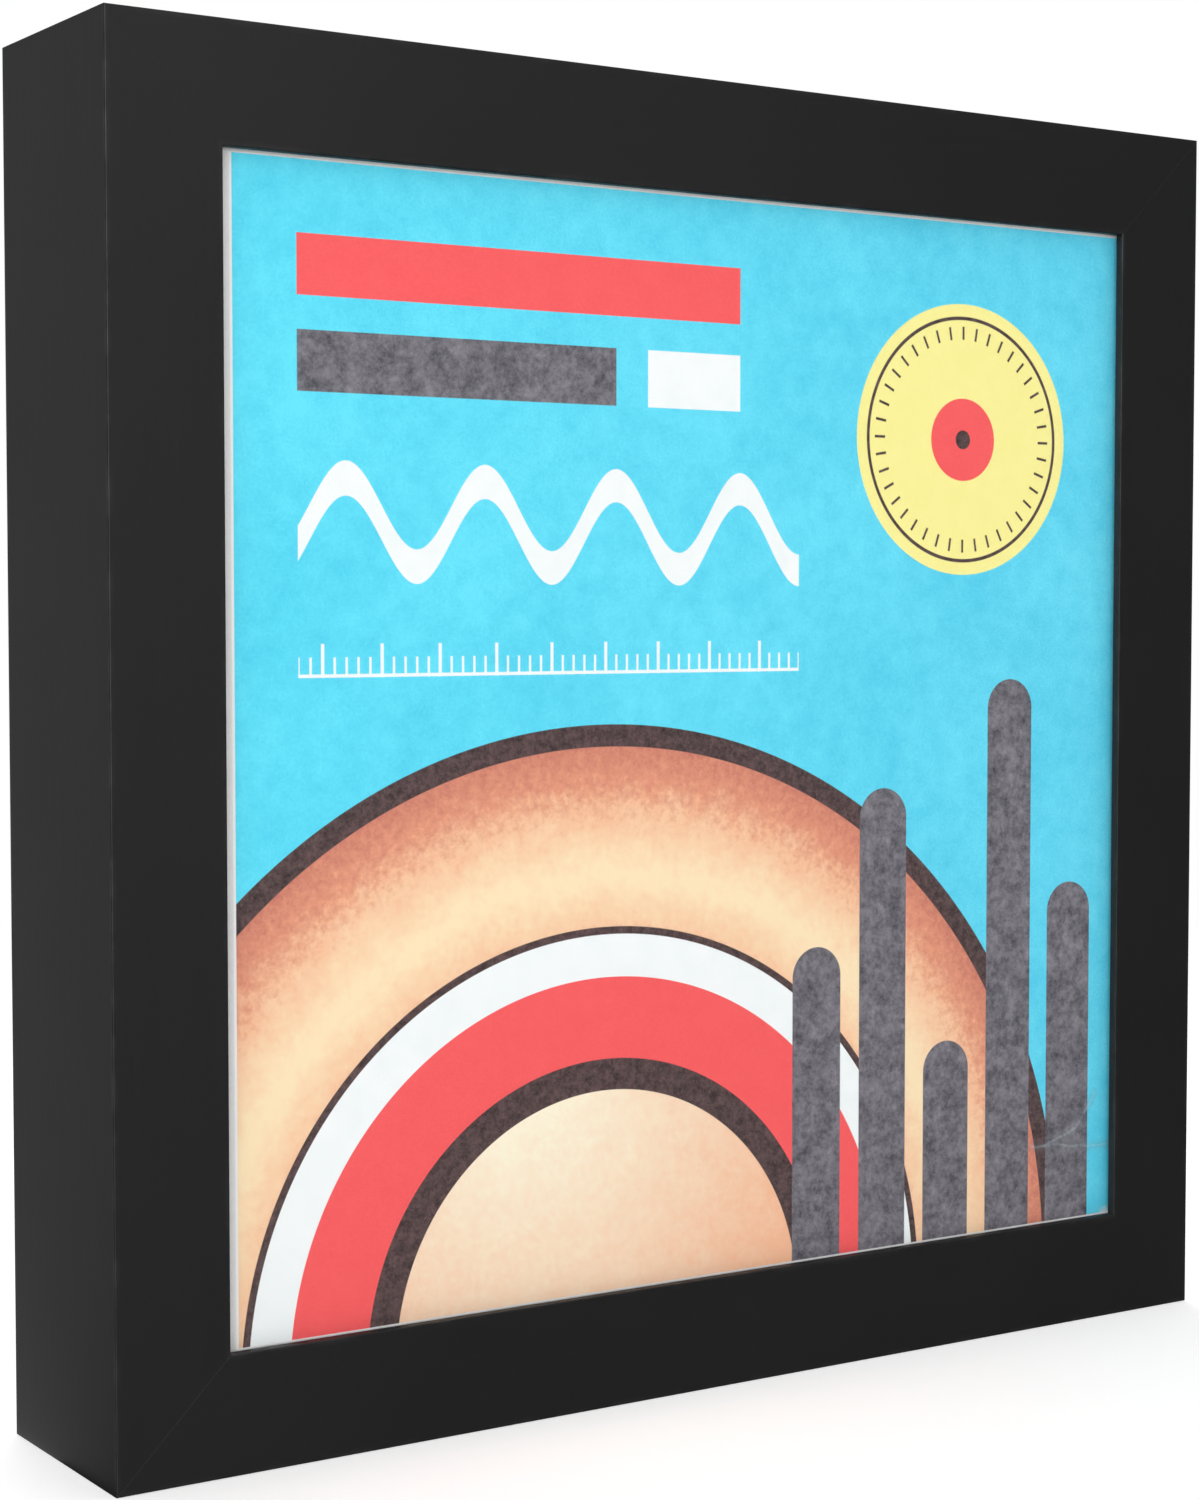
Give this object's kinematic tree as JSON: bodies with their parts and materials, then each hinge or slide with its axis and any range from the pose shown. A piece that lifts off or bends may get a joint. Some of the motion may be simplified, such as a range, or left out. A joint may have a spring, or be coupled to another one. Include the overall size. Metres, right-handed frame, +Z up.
{
  "type": "vinyl record frame",
  "caption": "Square black box frame that shows a record sleeve behind a clear pane, and stands on a shelf or hangs on a wall nail.",
  "frame": {"origin": "bottom centre of the whole frame's box, bumpers and hanger included", "axes": "+Z up, the picture faces -Y, the wall side is +Y, and +X is to the right as seen from the front"},
  "size_m": [0.21, 0.0414, 0.21],
  "materials": {
    "black_moulding": "satin black paint",
    "nail_steel": "plain",
    "clear_pane": "clear, polished",
    "printed_card": "printed, satin",
    "grey_board": "plain, matte",
    "hardboard": "pressed, matte",
    "black_fibreboard": "foil wrapped, matte",
    "zinc_plate": "zinc plated",
    "hanger_brass": "brass plated",
    "black_rubber": "matte"
  },
  "bodies": {
    "frame": {"top_rail": "black_moulding", "bottom_rail": "black_moulding", "left_stile": "black_moulding", "right_stile": "black_moulding", "corner_nail_top_left_outer": "nail_steel", "corner_nail_top_left_inner": "nail_steel", "corner_nail_top_right_outer": "nail_steel", "corner_nail_top_right_inner": "nail_steel", "corner_nail_bottom_right_outer": "nail_steel", "corner_nail_bottom_right_inner": "nail_steel", "corner_nail_bottom_left_outer": "nail_steel", "corner_nail_bottom_left_inner": "nail_steel", "glazing_pane": "clear_pane", "record_sleeve": "printed_card", "backing_card": "grey_board", "back_panel": "hardboard", "spacer_top": "black_fibreboard", "spacer_bottom": "black_fibreboard", "spacer_left": "black_fibreboard", "spacer_right": "black_fibreboard", "turn_button_screw_lower_left": "zinc_plate", "turn_button_screw_upper_left": "zinc_plate", "turn_button_screw_lower_right": "zinc_plate", "turn_button_screw_upper_right": "zinc_plate", "sawtooth_hanger": "hanger_brass", "hanger_nail_left": "hanger_brass", "hanger_nail_right": "hanger_brass", "bumper_left": "black_rubber", "bumper_right": "black_rubber"},
    "lower_left_button": {"turn_button_lower_left": "zinc_plate"},
    "upper_left_button": {"turn_button_upper_left": "zinc_plate"},
    "lower_right_button": {"turn_button_lower_right": "zinc_plate"},
    "upper_right_button": {"turn_button_upper_right": "zinc_plate"}
  },
  "joints": [
    {"name": "lower_left_swivel", "type": "hinge", "parent": "frame", "child": "lower_left_button", "pos_m": [-0.0975, 0.01725, 0.0525], "axis": [0, 1, 0], "continuous": true},
    {"name": "upper_left_swivel", "type": "hinge", "parent": "frame", "child": "upper_left_button", "pos_m": [-0.0975, 0.01725, 0.1575], "axis": [0, 1, 0], "continuous": true},
    {"name": "lower_right_swivel", "type": "hinge", "parent": "frame", "child": "lower_right_button", "pos_m": [0.0975, 0.01725, 0.0525], "axis": [0, 1, 0], "continuous": true},
    {"name": "upper_right_swivel", "type": "hinge", "parent": "frame", "child": "upper_right_button", "pos_m": [0.0975, 0.01725, 0.1575], "axis": [0, 1, 0], "continuous": true}
  ]
}
